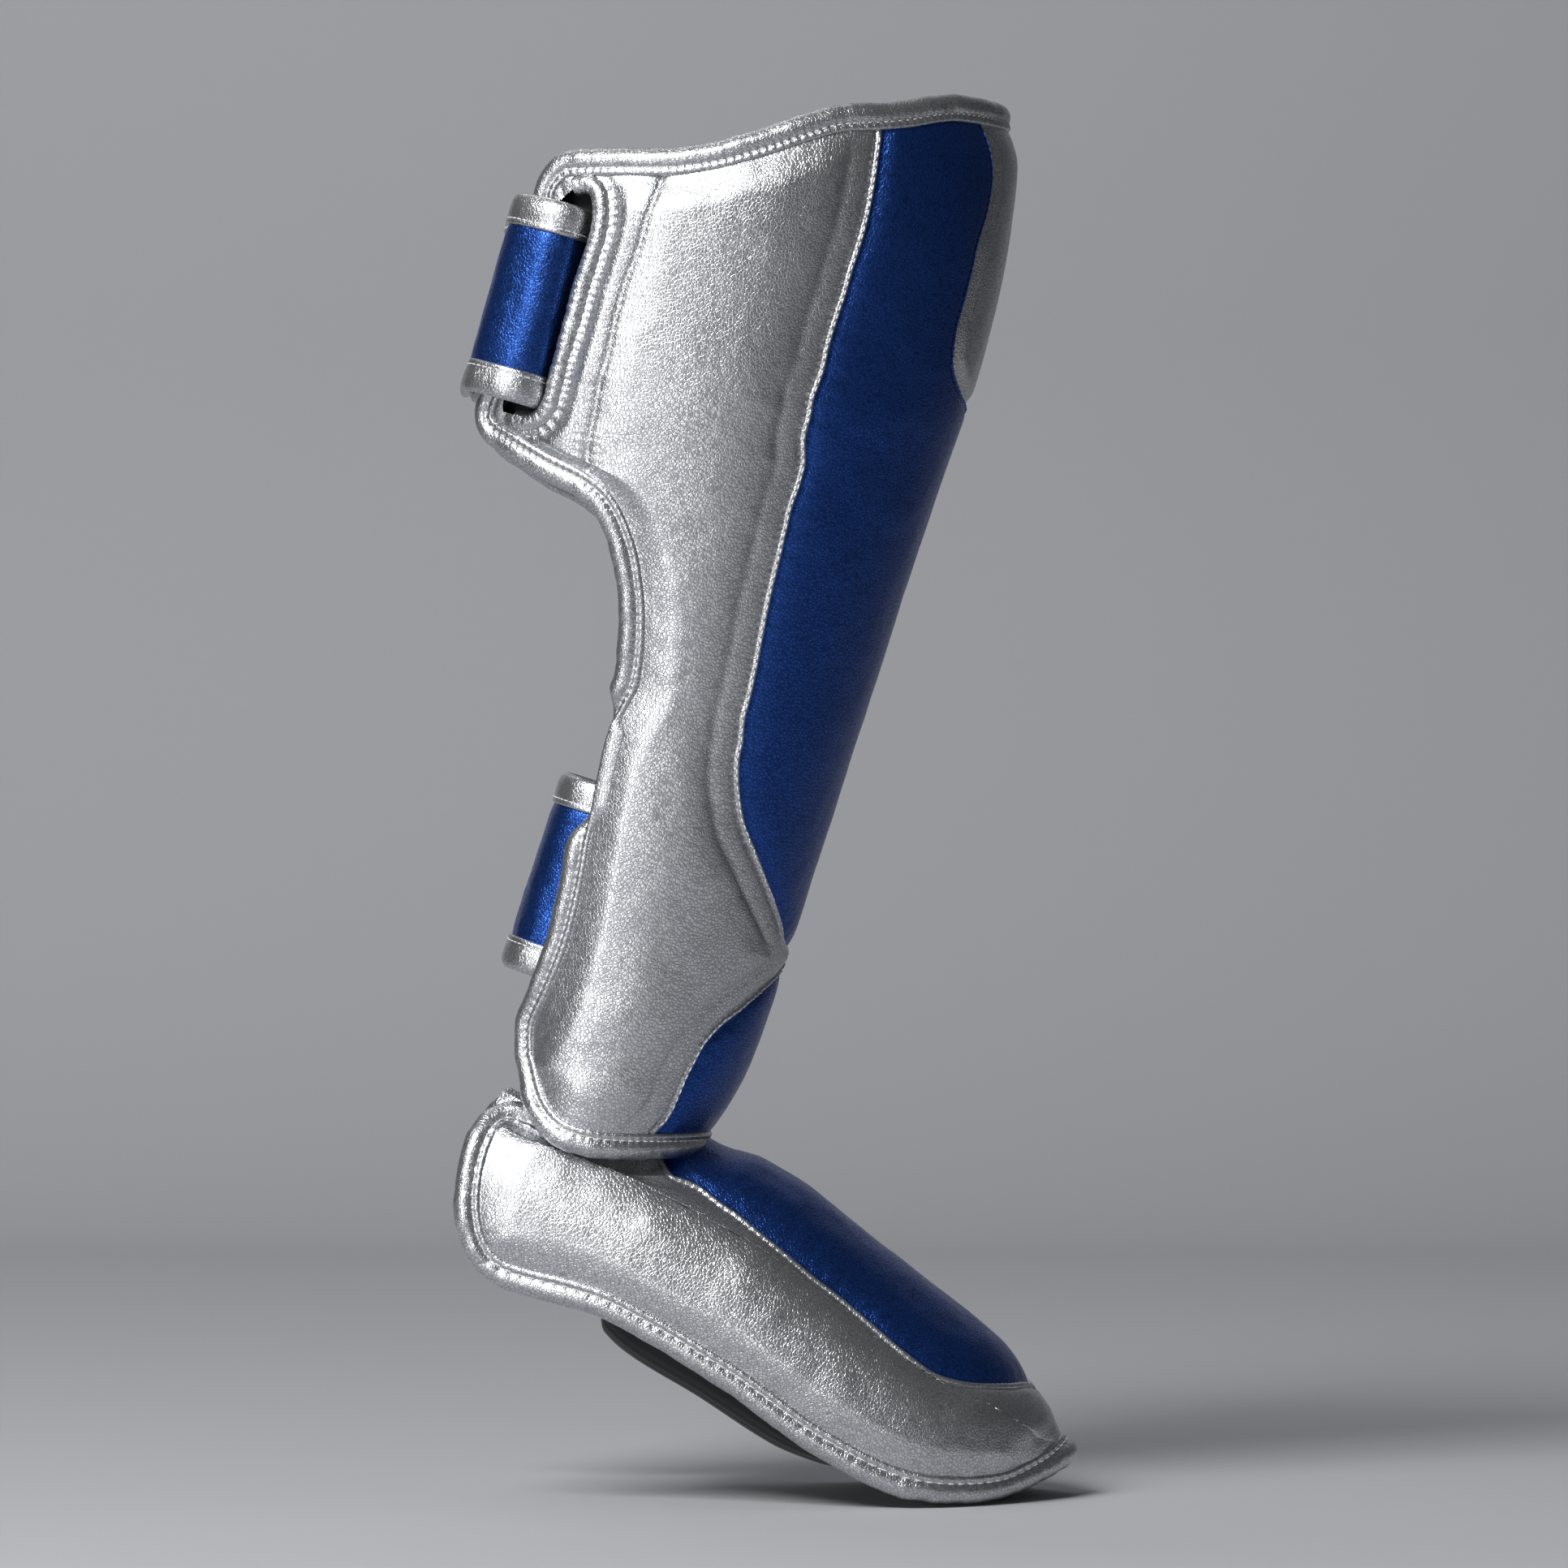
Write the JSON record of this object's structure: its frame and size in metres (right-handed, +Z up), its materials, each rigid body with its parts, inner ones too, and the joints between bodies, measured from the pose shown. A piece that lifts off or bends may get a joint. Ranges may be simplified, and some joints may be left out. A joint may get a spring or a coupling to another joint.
{
  "type": "shin guard",
  "caption": "Padded shin and instep guard for one leg: an open-backed leather shell with rolled edges, wrap straps, an instep shell over the foot and an elastic sole band.",
  "frame": {"origin": "on the leg's axis at about mid height of the guard, where the leg is held", "axes": "+X forwards to the toe, +Z up the leg, -Y the side with the strap slot"},
  "size_m": [0.2106, 0.1559, 0.4709],
  "materials": {
    "silver_leather": "metallic, fine pebble grain",
    "blue_leather": "metallic, fine pebble grain",
    "black_lining": "matt",
    "black_elastic": "woven, matt"
  },
  "bodies": {
    "root": {"side_panel_right": "silver_leather", "side_panel_left": "silver_leather", "front_panel": "blue_leather", "knee_panel": "silver_leather", "ankle_panel": "blue_leather", "shin_lining": "black_lining", "shin_binding": "silver_leather", "slot_binding": "silver_leather", "upper_strap": "blue_leather", "upper_strap_top_edge": "silver_leather", "upper_strap_bottom_edge": "silver_leather", "lower_strap": "blue_leather", "lower_strap_top_edge": "silver_leather", "lower_strap_bottom_edge": "silver_leather", "instep_side_panel": "silver_leather", "instep_top_panel": "blue_leather", "instep_lining": "black_lining", "instep_binding": "silver_leather", "sole_strap": "black_elastic", "ankle_web": "black_lining"}
  },
  "joints": []
}
